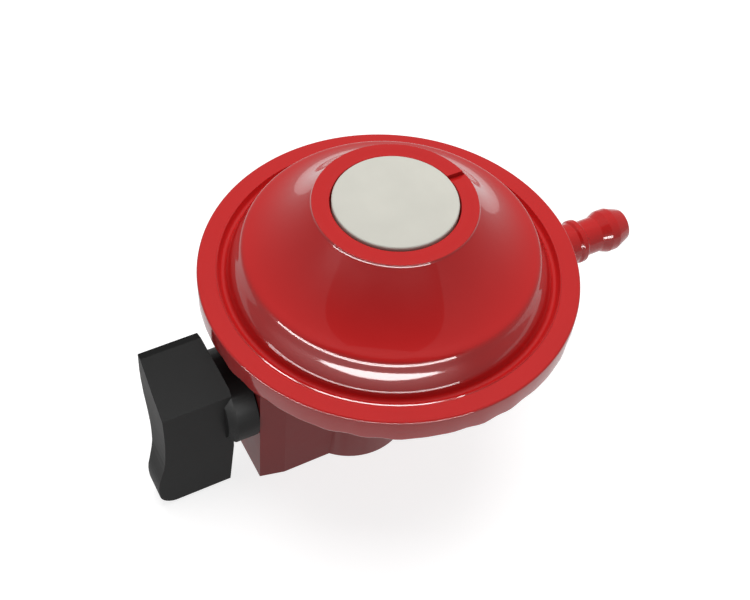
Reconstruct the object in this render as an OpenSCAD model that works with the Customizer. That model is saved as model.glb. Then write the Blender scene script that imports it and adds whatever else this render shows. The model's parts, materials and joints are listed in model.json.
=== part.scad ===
// Low-pressure gas regulator that pushes onto a cylinder valve.
// A round diaphragm chamber sits on a cast body with a side turn knob and a hose nozzle.
// Origin: centre of the inlet socket's mouth. +X points along the hose nozzle, +Z up.

/* [Chamber] */
// Outer radius of the crimped rim
rim_r = 38.4; // [37:0.1:40]
// Height of the rim's top face above the socket's mouth
rim_z = 44.4; // [43.5:0.1:46]
// Depth of the rim's outer band
band_h = 5.8; // [5.4:0.1:6.2]
// Radius of the flat boss on top of the cover
boss_r = 16; // [15.5:0.1:16.5]
// Height of the boss above the rim's top face
boss_h = 17.8; // [17:0.1:19]
// Wall thickness of the cover
cover_t = 1.4; // [1.2:0.1:1.6]
// Distance of the chamber's axis from the socket's axis
disc_x = 7.5; // [7:0.1:8]
// Radius of the silver cap in the boss
cap_r = 12.2; // [11.8:0.1:12.3]

/* [Inlet] */
// Radius of the socket that takes the cylinder valve
socket_r = 10.7; // [10.5:0.05:10.8]
// Depth of the socket's straight wall
socket_d = 8.5; // [8:0.1:8.6]
// Outer radius of the collar around the socket
collar_r = 13.35; // [13.2:0.05:13.8]
// Half the width of the cam block at its foot
block_w = 9.5; // [9.4:0.05:9.8]
// How far each side of the cam block leans out, from its foot to its top
block_draft = 1.6; // [1:0.1:1.8]
// Outer face of the cam block
block_x = -25.35; // [-25.5:0.05:-25.3]

/* [Outlet] */
// Height of the nozzle's axis
nozzle_z = 29.4; // [29:0.1:29.8]
// Radius of the nozzle's neck, where the hose seats
neck_r = 4; // [3.8:0.05:4.1]
// Radius of the nozzle's bulb
bulb_r = 4.8; // [4.7:0.05:5]
// Radius of the nozzle's stop bead
bead_r = 4.9; // [4.8:0.05:5.1]
// Radius of the nozzle's bore
nozzle_bore_r = 2.6; // [2.4:0.05:2.8]
// Tip of the nozzle
tip_x = 67.6; // [67:0.1:68.5]

/* [Knob] */
// Height of the knob's axis
knob_z = 21.7; // [21.6:0.05:21.8]
// Radius of the knob's round hub
hub_r = 9.87; // [9.6:0.01:10]
// Radius of the spindle
spindle_r = 3; // [2.9:0.01:3]

/* [Hidden] */
$fn = 96;
run_gap = 0.05;             // radial clearance of a running fit

// heights in the chamber
band_z = rim_z - band_h;
sheet_z = rim_z - cover_t;  // underside of the cover's flat rim
membrane_t = 1;
flange_z = sheet_z - membrane_t;
flange_t = 2.4;
flange_r = rim_r - cover_t;
bowl_r = 29;
bowl_inner_r = 26.4;
floor_z = 30.2;
bowl_z = 27.2;
boss_z = rim_z + boss_h;

// cover outline, radius and height above the rim's top face
groove_r = 32.3;
groove_out_r = 34.4;
shoulder = [28.6, 6.6];
shoulder_foot = [30.5, 4.05];

// adjuster
thread_r = 9;
adjuster_r = 8.7;
recess_r = cap_r + 0.35;
recess_d = 1.3;
skirt_r = 11.3;
skirt_z = boss_z - 3.7;
seat_z = 50;
barrel_low = 4.6;            // barrel's lower end above the rim's top face
seat_t = 1.4;

// diaphragm stack, at its lowest
plate_z = 41.6;
plate_r = 19.5;
disc_t = 0.8;
stem_r = 1.6;
stem_foot_z = 34.8;
fork_z = 36.7;
fork_t = 1.2;

// lever
lever_x = -4;
lever_z = 37.3;
lever_pin_r = 1;
jet_x = -8;
jet_top = 33;
jet_r = 3;
pad_r = 2.4;
pad_z = 33.65;

// cam chamber, lock cavity and push pin
chamber_r = 6.8;
chamber_x = -11.5;
bearing_x = -16.6;
bush_x = -21.2;
bush_r = 6.4;
cam_w = 3;
cam_lo = 3.5;
pin_travel = 2.5;
cam_gap = 0.1;
pin_r = 2;
seal_r = 7.4;
pin_head_z = knob_z - cam_lo - cam_gap;
pin_head_t = 1.2;
pin_tip_z = 8.6;
web_z = 10;
spring_pocket_z = 12;
spring_pocket_r = 3.8;
plug_x = 9;
plug_face_x = 14.5;
plug_r = 7.4;

// locking claw
claw_x = -14.8;
claw_z = 9;
claw_pin_r = 1;
claw_w = 3;
claw_angle = 15;
nose_r = 1.2;
nose_dx = -3;
lock_low = 4.2;
nose_dz = knob_z - lock_low - cam_gap - nose_r - claw_z;
lock_cam_x = -20.6;
lock_cam_w = 3.7;
cavity_w = 3.2;
cavity_x = -21.6;
cavity_end_x = -11.9;
claw_window_x = -9;         // the window runs on into the socket
claw_window_z = 6.6;
claw_top_z = 14.2;
cavity_step_x = -14.6;
cavity_step_z = 17.3;
cavity_z = 1.6;

claw_hook_x = -10.95;       // the hook's end, over the valve's groove
claw_hook_z = 2.6;
claw_wall = 2;              // wall left behind the claw's pin

// plate that closes the lock cavity, and its screws
plate_low_x = -21.9;
plate_len = 9.3;
plate_w = 8;
plate_gap = 0.1;
plate_screw_x = -17;
plate_screw_y = 6.2;
plate_screw_r = 1.1;

// cam block's slanted corners
corner_len = 5.25;
corner_in = 1.2;

// nozzle
nozzle_root_r = 4.5;
stop_x = 55.15;             // stop bead
neck_end_x = 60.2;
land_x = 62.2;              // start of the bulb's straight stretch
land = 2;

// knob
hub_x = block_x - 0.3;
cone_x = -30.2;
paddle_x = -31.3;
paddle_top = 39.9;
paddle_low = 0.8;
crease_z = 29.8;
front_y = -6.4;
spindle_x = -37.8;
screw_x = -28;
screw_r = 1.25;
flat_d = 0.3;               // depth of the spindle's flat under the knob's screw

// A point on a cubic curve through a and d, drawn towards b and c
function curve_pt(a, b, c, d, t) =
    pow(1 - t, 3) * a + 3 * t * pow(1 - t, 2) * b + 3 * t * t * (1 - t) * c + pow(t, 3) * d;
function curve(a, b, c, d, n) = [for (i = [0:n]) curve_pt(a, b, c, d, i / n)];
function arc(centre, r, from, to, n) =
    [for (i = [0:n]) centre + r * [cos(from + (to - from) * i / n), sin(from + (to - from) * i / n)]];

// An open outline moved sideways by t, to the right of its direction
function side(a, b) = [b.y - a.y, a.x - b.x] / norm(b - a);
function moved(pts, t) = [for (i = [0:len(pts) - 1])
    let (a = pts[max(i - 1, 0)], b = pts[min(i + 1, len(pts) - 1)]) pts[i] + t * side(a, b)];
function reversed(pts) = [for (i = [len(pts) - 1:-1:0]) pts[i]];

// The cover's dome, from the boss's edge down to the groove
dome = concat(
    [[boss_r - 0.4, boss_h], [boss_r, boss_h - 0.4]],
    curve([boss_r + 0.2, boss_h - 0.9], [18.4, 13.4], [23, 8.6], shoulder, 14),
    curve([28.9, 6.45], [29.6, 6.15], [29.8, 5.3], shoulder_foot, 5),
    curve([30.7, 3.7], [31.2, 2.8], [31.9, 1.5], [groove_r, 0.3], 5));

module along_x(x, y = 0, z = 0) {
    translate([x, y, z]) rotate([0, 90, 0]) children();
}

module rod_y(x, z, r, half) {
    translate([x, half, z]) rotate([90, 0, 0]) cylinder(r = r, h = 2 * half);
}

module ring(outer, inner, h) {
    difference() {
        cylinder(r = outer, h = h);
        translate([0, 0, -1]) cylinder(r = inner, h = h + 2);
    }
}

module torus(major, minor) {
    rotate_extrude() translate([major, 0]) circle(r = minor, $fn = 32);
}

// An outline in Y and Z, extruded along X
module extrude_x(x, w) {
    translate([x, 0, 0]) rotate([90, 0, 90]) linear_extrude(w) children();
}

// An outline in X and Z, extruded along Y and centred
module extrude_y(half) {
    translate([0, half, 0]) rotate([90, 0, 0]) linear_extrude(2 * half) children();
}

// A coil spring with flat-lying ends, wound from wire of radius w
module coil(mean_r, w, h, turns, sides = 8, steps = 18) {
    n = turns * steps;
    rise = h - 2 * w;
    rings = [for (i = [0:n])
        let (a = 360 * i / steps, z = w + rise * i / n)
        for (k = [0:sides - 1])
            let (b = 360 * k / sides, r = mean_r + w * cos(b))
            [r * cos(a), r * sin(a), z + w * sin(b)]];
    skin = [for (i = [0:n - 1]) for (k = [0:sides - 1])
        [i * sides + k, i * sides + (k + 1) % sides, (i + 1) * sides + (k + 1) % sides,
            (i + 1) * sides + k]];
    start = [for (k = [sides - 1:-1:0]) k];
    end = [for (k = [0:sides - 1]) n * sides + k];
    polyhedron(points = rings, faces = concat(skin, [start], [end]), convexity = 6);
}

// Outline of a cam whose flat follower falls by lift(angle) as the cam turns
function cam_point(low, lift, slope, a) =
    (low + lift) * [sin(a), -cos(a)] + slope * [cos(a), sin(a)];

// ---------------------------------------------------------------- body

module body_casting() {
    color([0.70, 0.15, 0.15]) difference() {
        union() {
            translate([disc_x, 0, flange_z - flange_t]) cylinder(r = flange_r, h = flange_t);
            bowl_outside();
            cylinder(r = collar_r, h = bowl_z + 1);
            block();
            along_x(0, 0, knob_z) cylinder(r = plug_r + 1.8, h = plug_face_x);
            along_x(disc_x, 0, nozzle_z) cylinder(r = neck_r + 2.2, h = bowl_r + 3);
        }
        bowl_inside();
        inlet_cuts();
        chamber_cuts();
        lock_cuts();
        outlet_cuts();
    }
    color([0.70, 0.15, 0.15]) lever_posts();
}

module bowl_outside() {
    translate([disc_x, 0, 0]) rotate_extrude()
        polygon(concat([[0, bowl_z], [bowl_r - 7, bowl_z]],
            arc([bowl_r - 7, bowl_z + 7], 7, -80, 0, 8),
            [[bowl_r, flange_z - 0.5], [0, flange_z - 0.5]]));
}

module bowl_inside() {
    translate([disc_x, 0, 0]) rotate_extrude()
        polygon(concat([[0, floor_z], [bowl_inner_r - 5, floor_z]],
            arc([bowl_inner_r - 5, floor_z + 5], 5, -80, 0, 8),
            [[bowl_inner_r, flange_z + 1], [0, flange_z + 1]]));
}

// The cam block: two sides that lean out upwards, and slanted corners that lean the same way
module block() {
    top = flange_z - flange_t + 0.5;
    far = 60;
    intersection() {
        extrude_x(block_x, -block_x) polygon([[-block_w, 0], [block_w, 0],
            [block_w + block_draft, top], [-block_w - block_draft, top]]);
        corner_side(top, far);
        mirror([0, 1, 0]) corner_side(top, far);
    }
}

// Everything inside the slanted corner's plane on the -Y side
module corner_side(top, far) {
    translate([block_x + corner_len, -block_w, 0]) rotate([0, 0, -atan2(corner_in, corner_len)])
        extrude_x(-far, 2 * far) polygon([[0, 0], [-block_draft, top], [far, top], [far, 0]]);
}

module inlet_cuts() {
    translate([0, 0, -1]) cylinder(r = socket_r, h = socket_d + 1);
    translate([0, 0, socket_d - 1]) cylinder(r = seal_r, h = web_z - socket_d + 1);
    translate([0, 0, web_z - 1]) cylinder(r = pin_r + run_gap, h = spring_pocket_z - web_z + 2);
    translate([0, 0, spring_pocket_z]) cylinder(r = spring_pocket_r, h = 6);
    for (a = [45:90:315])
        rotate([0, 0, a]) translate([2.95, 0, web_z - 1]) cylinder(r = 0.7, h = 4, $fn = 24);
}

module chamber_cuts() {
    along_x(chamber_x, 0, knob_z) cylinder(r = chamber_r, h = plug_face_x - chamber_x + 1);
    along_x(plug_x, 0, knob_z) cylinder(r = plug_r, h = plug_face_x - plug_x + 1);
    along_x(bearing_x - 1, 0, knob_z)
        cylinder(r = spindle_r + run_gap, h = chamber_x - bearing_x + 2);
    translate([jet_x, 0, knob_z]) cylinder(r = jet_r, h = floor_z - knob_z + 1);
}

module at_plate_screws(z) {
    for (s = [-1, 1]) translate([plate_screw_x, plate_screw_y * s, z]) children();
}

module lock_cuts() {
    along_x(block_x - 1, 0, knob_z) cylinder(r = bush_r, h = bearing_x - block_x + 1);
    extrude_y(cavity_w) polygon([[cavity_x, cavity_z], [claw_window_x, cavity_z],
        [claw_window_x, claw_window_z], [cavity_end_x, claw_window_z], [cavity_end_x, claw_top_z],
        [cavity_step_x, claw_top_z], [cavity_step_x, cavity_step_z], [bearing_x, cavity_step_z],
        [bearing_x, knob_z], [cavity_x, knob_z]]);
    translate([plate_low_x, -plate_w, -1]) cube([plate_len, 2 * plate_w, cavity_z + 1]);
    at_plate_screws(-1) cylinder(r = plate_screw_r, h = 9, $fn = 32);
    claw_pin_hole(block_w + 1);
}

module outlet_cuts() {
    along_x(disc_x + bowl_inner_r - 2, 0, nozzle_z) cylinder(r = 4.5, h = 12);
    along_x(disc_x + 17, 0, nozzle_z) cylinder(r = nozzle_bore_r, h = 10);
    translate([disc_x + 18.5, 0, nozzle_z - 1.6]) cylinder(r = 3.2, h = 4);
}

module lever_posts() {
    difference() {
        for (s = [-1, 1])
            translate([lever_x - 2.2, s > 0 ? 3.4 : -5.6, floor_z - 0.5]) cube([4.4, 2.2, 9.6]);
        rod_y(lever_x, lever_z, lever_pin_r, 8);
    }
}

// ---------------------------------------------------------------- cover and adjuster

module top_cover() {
    rim = concat(
        [[groove_r + 0.5, -0.6], [groove_r + 1.1, -0.8], [groove_r + 1.6, -0.5],
            [groove_out_r, 0], [rim_r - 0.8, 0]],
        arc([rim_r - 0.8, -0.8], 0.8, 70, 0, 4));
    outer = concat(dome, rim);
    inner = reversed(moved(concat(dome, [[groove_r + 0.5, -0.6]]), cover_t));
    color([0.80, 0.18, 0.18]) translate([disc_x, 0, rim_z]) difference() {
        union() {
            rotate_extrude($fn = 128) polygon(concat([[0, boss_h]], outer,
                [[rim_r, -band_h + 0.5], [rim_r - 0.5, -band_h], [rim_r - 2.4, -band_h],
                    [rim_r - 2.4, -band_h + 0.8], [flange_r, -band_h + 0.8],
                    [flange_r, -cover_t], [bowl_inner_r + 6.6, -cover_t]],
                inner, [[0, boss_h - cover_t]]));
            translate([0, 0, barrel_low]) cylinder(r = 10.8, h = boss_h - barrel_low - 1);
            translate([0, 0, skirt_z - rim_z - 2]) cylinder(r = skirt_r + 2.4, h = 5);
        }
        translate([0, 0, barrel_low - 1]) cylinder(r = thread_r, h = boss_h);
        translate([0, 0, boss_h - recess_d]) cylinder(r = recess_r, h = 3);
        translate([0, 0, skirt_z - rim_z - 0.2]) cylinder(r = skirt_r, h = 6);
        pry_slot();
    }
}

// Slot in the boss, for lifting the cap out
module pry_slot() {
    translate([cap_r - 2, 0.2, boss_h - 1]) cube([8, 1.8, 3]);
}

module cap() {
    color([0.84, 0.83, 0.80]) translate([disc_x, 0, boss_z]) {
        rotate_extrude() polygon([[0, -recess_d], [cap_r, -recess_d], [cap_r, 0.2],
            [cap_r - 0.35, 0.5], [0, 0.5]]);
        translate([0, 0, skirt_z - boss_z]) ring(skirt_r, skirt_r - 1, boss_z - skirt_z - recess_d);
    }
}

module adjuster() {
    base = seat_z + seat_t;
    color([0.75, 0.62, 0.30]) translate([disc_x, 0, base]) difference() {
        cylinder(r = adjuster_r, h = 6.4);
        translate([0, 0, 1.6]) cylinder(r = 5.6, h = 6, $fn = 6);
        translate([0, 0, -1]) cylinder(r = 2, h = 6);
    }
}

module spring_seat() {
    color("silver") translate([disc_x, 0, seat_z]) difference() {
        cylinder(r = 8.4, h = seat_t);
        translate([0, 0, -1]) cylinder(r = 3, h = 4);
    }
}

module main_spring() {
    low = plate_z + disc_t;
    color("gainsboro") translate([disc_x, 0, low + 0.05])
        coil(6.6, 0.6, seat_z - low - 0.1, 4);
}

// ---------------------------------------------------------------- diaphragm and lever

module diaphragm_plate() {
    color("lightgray") translate([disc_x, 0, plate_z]) difference() {
        rotate_extrude() polygon([[0, 0], [plate_r, 0], [plate_r + 0.6, 2.2],
            [plate_r - 0.2, 2.2], [plate_r - 0.8, disc_t], [0, disc_t]]);
        translate([0, 0, -1]) cylinder(r = stem_r, h = 4);
    }
}

module diaphragm() {
    low = plate_z - disc_t;
    color([0.15, 0.15, 0.15]) translate([disc_x, 0, 0]) rotate_extrude($fn = 128)
        polygon([[stem_r, low], [21.2, low], [22.4, low + 1], [23.4, 43.1], [24.6, 43.2],
            [25.5, 42.3], [26.2, flange_z], [flange_r - 0.1, flange_z],
            [flange_r - 0.1, sheet_z], [26.8, sheet_z], [26, 43.2], [24.9, 44.1],
            [23.1, 44], [21.9, 42.6], [20.9, plate_z], [stem_r, plate_z]]);
}

module diaphragm_washer() {
    color("lightgray") translate([disc_x, 0, plate_z - 2 * disc_t]) ring(9, stem_r, disc_t);
}

module diaphragm_stem() {
    top = plate_z + disc_t;
    color([0.80, 0.66, 0.35]) translate([disc_x, 0, 0]) {
        translate([0, 0, stem_foot_z]) cylinder(r = 3.2, h = 1.2);
        translate([0, 0, stem_foot_z + 1]) cylinder(r = 1.5, h = 3);
        translate([0, 0, stem_foot_z + 3.8]) cylinder(r = 3.2, h = plate_z - 2 * disc_t - 38.6);
        translate([0, 0, 39]) cylinder(r = stem_r, h = top - 39 + 0.1);
        translate([0, 0, top]) cylinder(r = 3, h = 1);
    }
}

module lever() {
    reach = disc_x + 4;
    color("silver") difference() {
        union() {
            rod_y(lever_x, lever_z, 2.2, 3.1);
            translate([lever_x, -3, fork_z]) cube([reach - lever_x, 6, fork_t]);
            translate([jet_x, -2.6, fork_z]) cube([lever_x - jet_x, 5.2, fork_t]);
            translate([jet_x, 0, pad_z + 0.9]) cylinder(r = 3.3, h = fork_z + fork_t - pad_z - 0.9);
        }
        rod_y(lever_x, lever_z, lever_pin_r + run_gap, 5);
        translate([disc_x - 1.9, -1.9, fork_z - 1]) cube([8, 3.8, 4]);
        translate([jet_x, 0, pad_z]) cylinder(r = pad_r, h = 1.7);
    }
}

module valve_pad() {
    color([0.12, 0.12, 0.12]) translate([jet_x, 0, pad_z]) cylinder(r = pad_r, h = 1.7);
}

module lever_pin() {
    color("gray") rod_y(lever_x, lever_z, lever_pin_r, 5.6);
}

module valve_jet() {
    color([0.80, 0.66, 0.35]) translate([jet_x, 0, 0]) difference() {
        union() {
            translate([0, 0, floor_z - 2]) cylinder(r = jet_r, h = 2.5);
            translate([0, 0, floor_z]) cylinder(r = 4, h = 1.2, $fn = 6);
            translate([0, 0, floor_z + 1]) cylinder(r1 = 2.2, r2 = 1.3, h = jet_top - floor_z - 1);
        }
        translate([0, 0, floor_z - 3]) cylinder(r = 1.6, h = 3.6);
        translate([0, 0, floor_z]) cylinder(r = 0.75, h = 5, $fn = 32);
    }
}

module jet_filter() {
    color([0.62, 0.55, 0.40]) translate([jet_x, 0, floor_z - 2]) cylinder(r = 1.6, h = 0.8);
}

// ---------------------------------------------------------------- outlet

module hose_nozzle() {
    root_x = disc_x + bowl_inner_r - 1.6;
    profile = concat(
        [[nozzle_bore_r, root_x], [nozzle_root_r, root_x], [nozzle_root_r, stop_x - 1]],
        arc([bead_r - 1, stop_x], 1, -70, 70, 8),
        [[neck_r, stop_x + 1.1], [neck_r, neck_end_x]],
        curve([neck_r + 0.05, neck_end_x + 0.2], [neck_r + 0.2, neck_end_x + 1],
            [bulb_r, land_x - 1], [bulb_r, land_x], 6),
        curve([bulb_r, land_x + land], [bulb_r - 0.05, land_x + land + 0.9],
            [bulb_r - 0.7, tip_x - 1.5], [neck_r - 0.4, tip_x - 0.5], 6),
        [[neck_r - 0.7, tip_x - 0.1], [neck_r - 1, tip_x], [nozzle_bore_r, tip_x]]);
    color([0.76, 0.20, 0.20]) along_x(0, 0, nozzle_z) rotate_extrude() polygon(profile);
}

// ---------------------------------------------------------------- knob and spindle

module knob() {
    color([0.16, 0.17, 0.18]) difference() {
        union() {
            along_x(cone_x, 0, knob_z) cylinder(r = hub_r, h = hub_x - cone_x);
            along_x(paddle_x - 0.4, 0, knob_z)
                cylinder(r1 = hub_r - 1.6, r2 = hub_r, h = cone_x - paddle_x + 0.4);
            paddle();
            along_x(-39.6, 0, knob_z) cylinder(r = 5.4, h = 9);
        }
        along_x(spindle_x, 0, knob_z) cylinder(r = spindle_r, h = 20);
        translate([screw_x, 0, knob_z - hub_r - 1]) cylinder(r = screw_r, h = 10, $fn = 32);
    }
}

module paddle() {
    section = [[front_y, 0], [front_y, crease_z], [2.3, paddle_top - 0.2], [3.6, paddle_top],
        [4.9, 30.3], [4.5, 26], [3, 22.2], [1.7, 19], [0.6, 14.6], [-0.2, 10], [-0.4, 0]];
    outline = concat(
        [[paddle_x, paddle_low], [-30.1, 12.6], [-30.1, 31], [-31.8, 37.5], [-33, 41], [-44.8, 41]],
        curve([-44.7, 34], [-44.4, 28], [-44.4, 20], [-45.1, 15], 8),
        curve([-45.5, 13.2], [-46.4, 10], [-47, 9], [-47, 6], 6),
        arc([-43, paddle_low + 4], 4, 190, 262, 6));
    intersection() {
        extrude_x(-50, 22) polygon(section);
        extrude_y(12) polygon(outline);
    }
}

module knob_screw() {
    color("dimgray") translate([screw_x, 0, knob_z - spindle_r - 5]) difference() {
        cylinder(r = screw_r, h = 5 + flat_d, $fn = 32);
        translate([0, 0, -1]) cylinder(r = 0.7, h = 2.6, $fn = 6);
    }
}

module spindle() {
    ramp = [for (a = [-12:8:100])
        cam_point(cam_lo, pin_travel * a / 90, pin_travel * 2 / PI, a)];
    color("silver") difference() {
        union() {
            along_x(spindle_x, 0, knob_z) cylinder(r = spindle_r, h = -spindle_x);
            along_x(-cam_w, 0, knob_z) cylinder(r = cam_lo, h = 2 * cam_w);
            translate([0, 0, knob_z]) extrude_x(-cam_w, 2 * cam_w) polygon(concat([[0, 0]], ramp));
            along_x(cam_w - 0.5, 0, knob_z) cylinder(r = 2.5, h = 11 - cam_w + 0.5);
        }
        along_x(-14.9, 0, knob_z) ring(4, 2, 1.2);
        along_x(bush_x + 0.05, 0, knob_z) ring(4, 2.4, 0.55);
        translate([screw_x - 2.5, -4, knob_z - spindle_r - 1]) cube([5, 8, 1 + flat_d]);
    }
}

module spindle_clip() {
    color("dimgray") along_x(bush_x + 0.08, 0, knob_z) difference() {
        ring(4.6, 2.4, 0.48);
        translate([0, -1.9, -1]) cube([6, 3.8, 3]);
    }
}

module spindle_seal() {
    color([0.10, 0.10, 0.10]) along_x(-14.3, 0, knob_z) torus(2.52, 0.52);
}

module spindle_bush() {
    color([0.80, 0.66, 0.35]) along_x(block_x, 0, knob_z)
        ring(bush_r, spindle_r + run_gap, bush_x - block_x);
}

// Cam that drives the claw: its lift follows the claw's nose as the claw swings
module lock_cam() {
    swing = function (a) claw_angle * a / 90;
    lift = function (a) -nose_dx * sin(swing(a)) + nose_dz * (1 - cos(swing(a)));
    slope = function (a) (lift(a + 1) - lift(a - 1)) * 90 / PI;
    ramp = [for (a = [-12:8:100]) cam_point(lock_low, lift(a), slope(a), a)];
    color([0.75, 0.62, 0.30]) along_x(lock_cam_x, 0, knob_z) difference() {
        rotate([0, -90, 0]) rotate([90, 0, 90]) linear_extrude(lock_cam_w) union() {
            circle(r = lock_low);
            polygon(concat([[0, 0]], ramp));
        }
        translate([0, 0, -1]) cylinder(r = spindle_r, h = 8);
    }
}

module lock_claw() {
    color("silver") difference() {
        union() {
            rod_y(claw_x, claw_z, 2.6, claw_w);
            rod_y(claw_x + nose_dx, claw_z + nose_dz, nose_r, claw_w);
            extrude_y(claw_w) polygon([[claw_x - 2.4, claw_z], [claw_x + nose_dx - nose_r,
                claw_z + nose_dz], [claw_x + nose_dx + nose_r, claw_z + nose_dz],
                [claw_x + 1, claw_z + 2.4]]);
            extrude_y(claw_w) polygon([[claw_x - 2.5, claw_z], [claw_x - 0.8, claw_hook_z],
                [claw_hook_x, claw_hook_z], [claw_hook_x, 4], [-12.2, 4.2], [claw_x + 1.2, claw_z - 1.5]]);
        }
        rod_y(claw_x, claw_z, claw_pin_r + run_gap, claw_w + 1);
    }
}

// Blind hole, drilled from the +Y side and open there
module claw_pin_hole(from_y) {
    blind_y = claw_wall - block_w;
    translate([claw_x, from_y, claw_z]) rotate([90, 0, 0])
        cylinder(r = claw_pin_r, h = from_y - blind_y);
}

module claw_pin() {
    color("gray") claw_pin_hole(block_w - 0.3);
}

// ---------------------------------------------------------------- inlet

module push_pin() {
    color("silver") {
        translate([0, 0, pin_tip_z + 0.6])
            cylinder(r = pin_r, h = pin_head_z - pin_tip_z - 0.7);
        translate([0, 0, pin_tip_z]) cylinder(r1 = pin_r - 0.6, r2 = pin_r, h = 0.6);
        translate([0, 0, pin_head_z - pin_head_t]) cylinder(r = 3.2, h = pin_head_t);
    }
}

module pin_spring() {
    color("gainsboro") translate([0, 0, spring_pocket_z + 0.05])
        coil(2.75, 0.25, pin_head_z - pin_head_t - spring_pocket_z - 0.1, 4);
}

module inlet_seal() {
    color([0.12, 0.12, 0.12]) translate([0, 0, socket_d]) ring(seal_r, 4.2, web_z - socket_d);
}

module chamber_plug() {
    color([0.70, 0.15, 0.15]) along_x(0, 0, knob_z) difference() {
        union() {
            translate([0, 0, plug_x]) cylinder(r = plug_r, h = plug_face_x - plug_x + 0.5);
            translate([0, 0, plug_face_x]) cylinder(r = 8.4, h = 3, $fn = 6);
        }
        translate([0, 0, plug_x - 1]) cylinder(r = 2.5 + run_gap, h = 4);
        translate([0, 0, 12.4]) ring(9, 6.2, 1.4);
    }
}

module plug_seal() {
    color([0.10, 0.10, 0.10]) along_x(13.1, 0, knob_z) torus(6.8, 0.58);
}

module base_plate() {
    color([0.70, 0.15, 0.15]) difference() {
        translate([plate_low_x + plate_gap, plate_gap - plate_w, plate_gap])
            cube([plate_len - 2 * plate_gap, 2 * (plate_w - plate_gap), cavity_z - plate_gap]);
        at_plate_screws(-1) {
            cylinder(r = plate_screw_r, h = 4, $fn = 32);
            cylinder(r = plate_screw_r + 0.25, h = 2, $fn = 32);
        }
    }
}

module base_screws() {
    color("gray") at_plate_screws(0.2) {
        cylinder(r = plate_screw_r + 0.2, h = 0.8, $fn = 32);
        cylinder(r = plate_screw_r, h = 7.6, $fn = 32);
    }
}

body_casting();
top_cover();
cap();
adjuster();
spring_seat();
main_spring();
diaphragm_plate();
diaphragm();
diaphragm_washer();
diaphragm_stem();
lever();
valve_pad();
lever_pin();
valve_jet();
jet_filter();
hose_nozzle();
knob();
knob_screw();
spindle();
spindle_clip();
spindle_seal();
spindle_bush();
lock_cam();
lock_claw();
claw_pin();
push_pin();
pin_spring();
inlet_seal();
chamber_plug();
plug_seal();
base_plate();
base_screws();
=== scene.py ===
import json
import math

import bmesh
import bpy
from mathutils import Matrix, Vector


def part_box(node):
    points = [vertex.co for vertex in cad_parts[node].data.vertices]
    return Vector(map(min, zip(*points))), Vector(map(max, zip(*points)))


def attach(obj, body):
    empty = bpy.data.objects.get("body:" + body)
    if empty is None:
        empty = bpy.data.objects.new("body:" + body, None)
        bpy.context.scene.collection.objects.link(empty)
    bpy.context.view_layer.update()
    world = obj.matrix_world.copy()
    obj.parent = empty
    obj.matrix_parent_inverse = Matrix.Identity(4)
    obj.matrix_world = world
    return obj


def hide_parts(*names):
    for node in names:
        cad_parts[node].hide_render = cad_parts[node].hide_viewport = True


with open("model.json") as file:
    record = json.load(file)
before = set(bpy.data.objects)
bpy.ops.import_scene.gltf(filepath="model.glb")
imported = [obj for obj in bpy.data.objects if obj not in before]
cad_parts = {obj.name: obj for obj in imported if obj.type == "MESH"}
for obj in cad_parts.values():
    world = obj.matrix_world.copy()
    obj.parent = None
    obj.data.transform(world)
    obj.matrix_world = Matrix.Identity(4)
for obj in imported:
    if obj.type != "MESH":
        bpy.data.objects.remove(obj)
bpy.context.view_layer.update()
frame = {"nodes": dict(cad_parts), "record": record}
nodes = frame["nodes"]
mm = 0.001  # metres


# ---------------------------------------------------------------- places, most from the imported part

def middle(node):
    low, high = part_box(node)
    return (low + high) / 2


cover_low, cover_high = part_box("top_cover")
cap_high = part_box("cap")[1]
tube_low, tube_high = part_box("hose_nozzle")
disc_x = middle("cap").x
rim_r = (cover_high.x - cover_low.x) / 2
boss_z = cover_high.z
band_low = cover_low.z
rim_z = 0.0444  # top face of the cover's rim
nozzle_z = middle("hose_nozzle").z


# ---------------------------------------------------------------- outlines

def curve(a, b, c, d, n):
    """Points of a cubic curve from a to d."""
    out = []
    for i in range(n + 1):
        t = i / n
        w = ((1 - t) ** 3, 3 * t * (1 - t) ** 2, 3 * t * t * (1 - t), t ** 3)
        out.append(tuple(sum(w[k] * p[j] for k, p in enumerate((a, b, c, d))) for j in (0, 1)))
    return out


def rounded(points, steps=5):
    """An outline whose corners (x, y, radius) are rounded; a corner without a radius stays sharp."""
    out = []
    n = len(points)
    for i, p in enumerate(points):
        here = Vector(p[:2])
        radius = p[2] if len(p) > 2 else 0
        if not radius:
            out.append(tuple(here))
            continue
        a = Vector(points[i - 1][:2]) - here
        b = Vector(points[(i + 1) % n][:2]) - here
        turn = a.angle(b)
        reach = min(radius / math.tan(turn / 2), 0.49 * a.length, 0.49 * b.length)
        true = reach * math.tan(turn / 2)
        start, end = here + a.normalized() * reach, here + b.normalized() * reach
        centre = here + (a.normalized() + b.normalized()).normalized() * (true / math.sin(turn / 2))
        u, v = start - centre, end - centre
        sweep = u.angle(v)
        for k in range(steps + 1):
            t = k / steps
            w = (u * math.sin((1 - t) * sweep) + v * math.sin(t * sweep)) / math.sin(sweep)
            out.append(tuple(centre + w))
    return out


def shade(obj, angle=35):
    for p in obj.data.polygons:
        p.use_smooth = True
    with bpy.context.temp_override(object=obj, active_object=obj, selected_editable_objects=[obj],
                                   selected_objects=[obj]):
        bpy.ops.object.shade_smooth_by_angle(angle=math.radians(angle))


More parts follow.
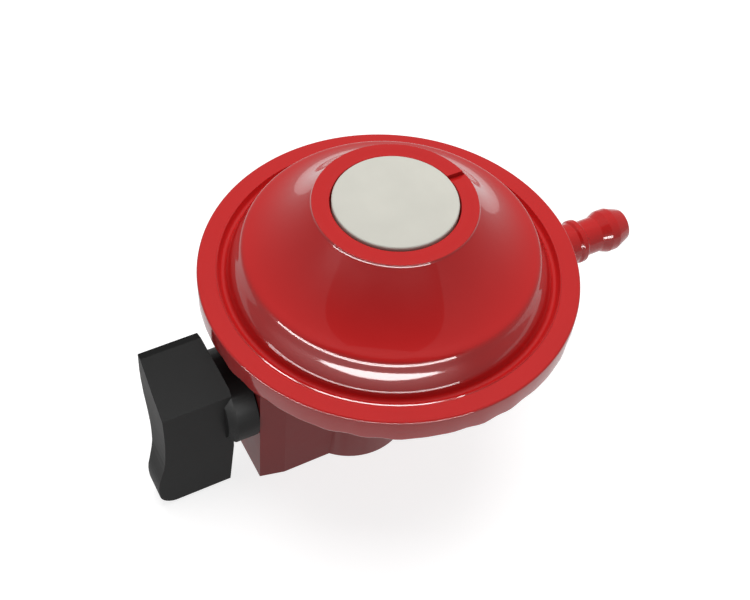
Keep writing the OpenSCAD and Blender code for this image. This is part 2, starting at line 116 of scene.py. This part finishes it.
def finished(name, bm, body, replaced=(), angle=35):
    """A piece from a bmesh, riding on its body."""
    bmesh.ops.remove_doubles(bm, verts=bm.verts, dist=1e-7)
    bmesh.ops.recalc_face_normals(bm, faces=bm.faces)
    mesh = bpy.data.meshes.new(name)
    bm.to_mesh(mesh)
    bm.free()
    obj = bpy.data.objects.new(name, mesh)
    bpy.context.scene.collection.objects.link(obj)
    shade(obj, angle)
    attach(obj, body)
    if replaced:
        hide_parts(*replaced)
    return obj


def lathe(outline, centre, axis="Z", steps=192, warp=None):
    """A closed outline (radius, height) in mm, turned about an axis through centre.

    warp(radius, height, angle) gives the radius and height of a point at that angle.
    """
    bm = bmesh.new()
    rings = []
    for r, h in outline:
        ring = []
        count = 1 if r < 1e-6 else steps
        for i in range(count):
            a = 2 * math.pi * i / steps
            rr, hh = warp(r, h, a) if warp else (r, h)
            p = Vector((rr * math.cos(a), rr * math.sin(a), hh)) * mm
            if axis == "X":
                p = Vector((p.z, p.x, p.y))
            ring.append(bm.verts.new(p + centre))
        rings.append(ring)
    for k in range(len(rings)):
        a, b = rings[k], rings[(k + 1) % len(rings)]
        if len(a) == 1 and len(b) == 1:
            continue
        for i in range(steps):
            j = (i + 1) % steps
            quad = [a[i % len(a)], a[j % len(a)], b[j % len(b)], b[i % len(b)]]
            face = []
            for v in quad:
                if v not in face:
                    face.append(v)
            bm.faces.new(face)
    return bm


# ---------------------------------------------------------------- materials

def material(name, color, rough, metallic=0.0, coat=0.0, coat_rough=0.08, tint=0.06, tint_scale=60,
             rough_spread=0.08, rough_scale=120, bumps=((300, 0.02),), spec=0.5):
    """Base colour that drifts a little over the surface, uneven gloss, and bumps.

    Each bump is a scale in 1/m and a depth in mm, and may have a stretch for each axis.
    """
    m = bpy.data.materials.new(name)
    m.use_nodes = True
    t = m.node_tree
    bsdf = t.nodes["Principled BSDF"]
    bsdf.inputs["Metallic"].default_value = metallic
    bsdf.inputs["Coat Weight"].default_value = coat
    bsdf.inputs["Coat Roughness"].default_value = coat_rough
    bsdf.inputs["Specular IOR Level"].default_value = spec
    where = t.nodes.new("ShaderNodeTexCoord")

    def noise(scale, detail=3.0, stretch=None):
        n = t.nodes.new("ShaderNodeTexNoise")
        n.inputs["Scale"].default_value = scale
        n.inputs["Detail"].default_value = detail
        if stretch:
            mp = t.nodes.new("ShaderNodeMapping")
            mp.inputs["Scale"].default_value = stretch
            t.links.new(where.outputs["Object"], mp.inputs["Vector"])
            t.links.new(mp.outputs["Vector"], n.inputs["Vector"])
        else:
            t.links.new(where.outputs["Object"], n.inputs["Vector"])
        return n.outputs["Fac"]

    ramp = t.nodes.new("ShaderNodeValToRGB")
    other = [c * (1 - tint) for c in color]
    ramp.color_ramp.elements[0].position = 0.3
    ramp.color_ramp.elements[1].position = 0.7
    ramp.color_ramp.elements[0].color = (*other, 1)
    ramp.color_ramp.elements[1].color = (*color, 1)
    t.links.new(noise(tint_scale), ramp.inputs["Fac"])
    t.links.new(ramp.outputs["Color"], bsdf.inputs["Base Color"])
    spread = t.nodes.new("ShaderNodeMapRange")
    spread.inputs["To Min"].default_value = max(0.02, rough - rough_spread)
    spread.inputs["To Max"].default_value = rough + rough_spread
    t.links.new(noise(rough_scale, 4.0), spread.inputs["Value"])
    t.links.new(spread.outputs["Result"], bsdf.inputs["Roughness"])
    last = None
    for b in bumps:
        bump = t.nodes.new("ShaderNodeBump")
        bump.inputs["Strength"].default_value = 1.0
        bump.inputs["Distance"].default_value = b[1] * mm
        t.links.new(noise(b[0], 2.0, b[2] if len(b) > 2 else None), bump.inputs["Height"])
        if last:
            t.links.new(last, bump.inputs["Normal"])
        last = bump.outputs["Normal"]
    if last:
        t.links.new(last, bsdf.inputs["Normal"])
    return m


red = material("red_paint", (0.52, 0.011, 0.011), 0.32, coat=1.0, coat_rough=0.045, tint=0.05,
               bumps=((220, 0.008), (900, 0.0010)), spec=0.12)
# darker copy of the cover's red paint for the red parts under the disc: its darker colour is painted shade
red_with_painted_shade = material("red_paint_with_painted_shade", (0.25, 0.012, 0.012), 0.4, coat=0.3, coat_rough=0.15, tint=0.10,
                    bumps=((160, 0.04), (700, 0.006)), spec=0.15)
silver = material("silver_cap", (0.60, 0.59, 0.53), 0.6, metallic=0.0, tint=0.05, tint_scale=140,
                  bumps=((1400, 0.004, (1, 12, 1)),), spec=0.1)
black = material("black_plastic", (0.0095, 0.0098, 0.0097), 0.5, tint=0.25, rough_spread=0.05,
                 bumps=((1800, 0.008), (260, 0.01)), spec=0.2)
brass = material("brass", (0.72, 0.50, 0.20), 0.28, metallic=1.0, tint=0.12, bumps=((900, 0.004, (1, 1, 8)),))
steel = material("zinc_steel", (0.55, 0.55, 0.54), 0.34, metallic=1.0, tint=0.12, bumps=((700, 0.004),))
wire = material("spring_wire", (0.42, 0.42, 0.41), 0.3, metallic=1.0, tint=0.15, bumps=((1200, 0.003),))
rubber = material("rubber", (0.015, 0.015, 0.016), 0.6, tint=0.3, bumps=((500, 0.02), (1500, 0.006)))
gauze = material("gauze", (0.45, 0.36, 0.16), 0.45, metallic=1.0, tint=0.4, tint_scale=2500,
                 bumps=((2500, 0.05),))
# red-slot parts take the darker red copy, which carries painted shade
slots = {"red_paint": red_with_painted_shade, "silver_cap": silver, "black_plastic": black, "brass": brass,
         "steel": steel, "spring_steel": wire, "rubber": rubber, "gauze": gauze}


def dress(obj, mat):
    obj.data.materials.clear()
    obj.data.materials.append(mat)


for part in frame["record"]["subparts"]:
    dress(nodes[part["node"]], slots[part["material_slot"]])


# ---------------------------------------------------------------- the cover

boss_h = (boss_z - rim_z) / mm
boss_r = 16.0
rim_mm = rim_r / mm
band_h = (band_low - rim_z) / mm  # foot of the rim's outer band, below its top face
boss_edge = (boss_r + 0.08, boss_h - 0.35)
dome = (curve(boss_edge, (18.9, 13.9), (23.0, 8.5), (28.6, 6.6), 40)
        + curve((28.9, 6.45), (29.6, 6.15), (29.8, 5.3), (30.5, 4.05), 12)
        + curve((30.7, 3.7), (31.2, 2.8), (31.9, 1.5), (32.3, 0.3), 10))
groove = curve((32.4, -0.2), (32.55, -1.1), (33.3, -1.3), (33.8, -0.8), 10)
lip = rounded([(33.8, -0.8, 0), (34.25, 0.2, 0.1), (34.4, 0.22, 0.04), (34.53, 0, 0.03),
               (rim_mm - 0.05, 0.0, 0.45), (rim_mm, band_h, 0.9), (rim_mm - 2.4, band_h, 0.5),
               (rim_mm - 2.6, -4.6, 0.2)], 6)[1:]
inside = [(37.0, -5.0), (37.0, -1.4), (31.0, -1.3)] + [
    (r - 0.75, h - 0.95) for r, h in reversed(dome[6:-6])] + [(11.0, boss_h - 2.5), (10.9, 5.0), (9.1, 5.0),
                                                             (9.1, boss_h - 4.0)]
top = rounded([(11.4, boss_h - 4.0, 0), (12.55, boss_h - 1.3, 0), (12.55, boss_h, 0.18),
               (boss_r, boss_h, 0.12), (*boss_edge, 0)], 5)


def crimp(r, h, a):
    """The rolled lip under the rim is a little uneven."""
    if h < -4.0 and r > 34.5:
        wave = 0.16 * math.sin(9 * a + 0.6) * math.sin(23 * a) + 0.07 * math.sin(41 * a)
        h = max(h + wave, band_h)
        r -= 0.12 + 0.5 * wave
    return r, h


cover = finished("cover", lathe(top[:-1] + dome + groove + lip + inside,
                                Vector((disc_x, 0, rim_z)), warp=crimp), "regulator",
                 ("top_cover",), 40)


def cut(obj, low, high):
    """Takes a box, in metres, out of a piece's mesh."""
    bm = bmesh.new()
    bmesh.ops.create_cube(bm, size=1)
    for v in bm.verts:
        v.co = Vector([low[k] if v.co[k] < 0 else high[k] for k in range(3)])
    mesh = bpy.data.meshes.new("cutter")
    bm.to_mesh(mesh)
    bm.free()
    cutter = bpy.data.objects.new("cutter", mesh)
    bpy.context.scene.collection.objects.link(cutter)
    boolean = obj.modifiers.new("cut", "BOOLEAN")
    boolean.object = cutter
    boolean.solver = "EXACT"
    done = bpy.data.meshes.new_from_object(obj.evaluated_get(bpy.context.evaluated_depsgraph_get()))
    obj.modifiers.remove(boolean)
    obj.data = done
    bpy.data.objects.remove(cutter)


# slot in the boss, for lifting the cap out
slot_low = Vector((disc_x + 0.0105, 0.0002, boss_z - 0.001))
cut(cover, slot_low, slot_low + Vector((0.008, 0.0018, 0.003)))
dress(cover, red)


# ---------------------------------------------------------------- the cap

cap_r = 12.2
cap_t = (cap_high.z - boss_z) / mm
cap = finished("cap_disc", lathe(rounded([(0, cap_t, 0), (cap_r, cap_t, 0.35), (cap_r, -1.3, 0.1),
                                          (11.2, -1.3, 0), (11.2, -3.6, 0.1), (10.3, -3.6, 0.1),
                                          (10.3, -1.3, 0), (0, -1.3, 0)], 5),
                                 Vector((disc_x, 0, boss_z))), "regulator", ("cap",))
dress(cap, silver)


# ---------------------------------------------------------------- the hose nozzle

tip = tube_high.x / mm
root = tube_low.x / mm
barb = finished("nozzle", lathe(rounded([
    (2.6, root, 0), (4.5, root, 0.2), (4.5, tip - 13.5, 0.3), (4.9, tip - 13.0, 0.3), (4.9, tip - 11.9, 0.3),
    (4.0, tip - 11.2, 0.4), (4.0, tip - 7.4, 1.0), (4.8, tip - 5.4, 1.0), (4.8, tip - 3.4, 1.2),
    (3.5, tip, 0.5), (2.6, tip, 0.3)], 6),
    Vector((0, 0, nozzle_z)), axis="X", steps=96), "regulator", ("hose_nozzle",))
dress(barb, red)


# ---------------------------------------------------------------- eased edges on castings and mouldings

def eased(node, width, angle=32):
    """Rounds a CAD node's sharp edges in place, with modifiers."""
    obj = nodes[node]
    weld = obj.modifiers.new("weld", "WELD")
    weld.merge_threshold = 0.002 * mm
    flat = obj.modifiers.new("flat", "DECIMATE")
    flat.decimate_type = "DISSOLVE"
    flat.angle_limit = math.radians(0.5)
    bevel = obj.modifiers.new("edges", "BEVEL")
    bevel.width = width * mm
    bevel.segments = 3
    bevel.limit_method = "ANGLE"
    bevel.angle_limit = math.radians(angle)
    bevel.harden_normals = True
    return obj


eased("body_casting", 0.35)
eased("knob", 0.25)


# ---------------------------------------------------------------- stage

def soft_box(name, place, target, size, power):
    data = bpy.data.lights.new(name, "AREA")
    data.shape = "RECTANGLE"
    data.size, data.size_y = size
    data.energy = power
    obj = bpy.data.objects.new(name, data)
    bpy.context.scene.collection.objects.link(obj)
    obj.location = place
    obj.rotation_mode = "QUATERNION"
    obj.rotation_quaternion = (Vector(target) - Vector(place)).to_track_quat("-Z", "Y")
    return obj


heading = math.radians(31.5)  # the camera looks along ahead
right = Vector((math.cos(heading), -math.sin(heading), 0))
ahead = Vector((math.sin(heading), math.cos(heading), 0))
up = Vector((0, 0, 1))
centre = Vector((disc_x, 0, rim_z))


def flat_stage(name, height, half, paper):
    """A flat sheet that isn't part of the object."""
    mesh = bpy.data.meshes.new(name)
    bm = bmesh.new()
    bmesh.ops.create_grid(bm, x_segments=4, y_segments=4, size=half)
    bm.to_mesh(mesh)
    bm.free()
    obj = bpy.data.objects.new(name, mesh)
    bpy.context.scene.collection.objects.link(obj)
    obj.location = (0, 0, height)
    obj.data.materials.append(paper)
    return obj


# the camera sees a bright white sheet; the paint sees a plain one that the object shades
white_paper = material("white_paper", (0.42, 0.42, 0.42), 0.9, tint=0.01, bumps=((40, 0.01),), spec=0.1)
white_paper.node_tree.nodes["Principled BSDF"].inputs["Emission Color"].default_value = (1, 1, 1, 1)
white_paper.node_tree.nodes["Principled BSDF"].inputs["Emission Strength"].default_value = 0.8
floor = flat_stage("floor", 0, 3.0, white_paper)
floor.visible_diffuse = False
floor.visible_glossy = False
plain_paper = material("plain_paper", (0.75, 0.75, 0.75), 0.9, tint=0.01, bumps=((40, 0.01),), spec=0.1)
plain_paper.node_tree.nodes["Principled BSDF"].inputs["Emission Color"].default_value = (1, 1, 1, 1)
plain_paper.node_tree.nodes["Principled BSDF"].inputs["Emission Strength"].default_value = 0.45
mirrored_floor = flat_stage("mirrored_floor", -0.0001, 0.2, plain_paper)
mirrored_floor.visible_camera = False


def around(azimuth, elevation, distance):
    """A point seen from the cover: azimuth 0 is straight ahead of the camera, 90 to its right."""
    a, e = math.radians(azimuth), math.radians(elevation)
    return centre + distance * (math.cos(e) * (ahead * math.cos(a) + right * math.sin(a)) + up * math.sin(e))


def lamp_only(obj):
    """Lights the paint without showing in it."""
    obj.visible_glossy = False


def mirror_only(obj):
    """Shows in the paint without lighting it."""
    obj.visible_diffuse = False


def sky_patch(name, azimuths, elevations, distance, color, strength):
    """Part of a sphere round the object that only its paint sees, such as a dark card or a strip lamp."""
    bm = bmesh.new()
    steps = 24
    first, last = azimuths
    rows = [[bm.verts.new(around(first + (last - first) * k / steps, e, distance)) for k in range(steps + 1)]
            for e in elevations]
    for lower, upper in zip(rows, rows[1:]):
        for k in range(steps):
            bm.faces.new((lower[k], lower[k + 1], upper[k + 1], upper[k]))
    mesh = bpy.data.meshes.new(name)
    bm.to_mesh(mesh)
    bm.free()
    obj = bpy.data.objects.new(name, mesh)
    bpy.context.scene.collection.objects.link(obj)
    surface = material(name, color, 0.9, bumps=(), spec=0.0)
    surface.node_tree.nodes["Principled BSDF"].inputs["Emission Color"].default_value = (1, 1, 1, 1)
    surface.node_tree.nodes["Principled BSDF"].inputs["Emission Strength"].default_value = strength
    obj.data.materials.append(surface)
    obj.visible_camera = False
    obj.visible_shadow = False
    return obj


lamp_only(soft_box("over", around(0, 74, 1.0), centre, (0.9, 0.9), 10.8))
sky_patch("dark_card", (126, 236), (15, 30, 45, 60, 76), 0.9, (0.01, 0.01, 0.01), 0.12)
for name, low, high in (("lower_strip", 3, 7.5), ("upper_strip", 9, 14)):
    mirror_only(sky_patch(name, (134, 250), (low, high), 0.8, (1, 1, 1), 20))

world = bpy.data.worlds.new("studio")
bpy.context.scene.world = world
world.use_nodes = True
world.node_tree.nodes["Background"].inputs["Color"].default_value = (1, 1, 1, 1)
world.node_tree.nodes["Background"].inputs["Strength"].default_value = 0.34
bpy.context.scene.view_settings.view_transform = "Standard"


# ---------------------------------------------------------------- camera

tilt, roll = math.radians(49.934), math.radians(4.902)
eye = Vector((-0.0824, -0.1423, 0.2331))
forward = ahead * math.cos(tilt) - up * math.sin(tilt)
upward = right.cross(forward)
x_axis = right * math.cos(roll) + upward * math.sin(roll)
y_axis = upward * math.cos(roll) - right * math.sin(roll)
cam_data = bpy.data.cameras.new("camera")
cam_data.lens = 60.67
cam_data.sensor_width = 36
cam = bpy.data.objects.new("camera", cam_data)
bpy.context.scene.collection.objects.link(cam)
turn = Matrix((x_axis, y_axis, -forward)).transposed().to_4x4()
cam.matrix_world = Matrix.Translation(eye) @ turn
cam_data.clip_start = 0.01
bpy.context.scene.camera = cam
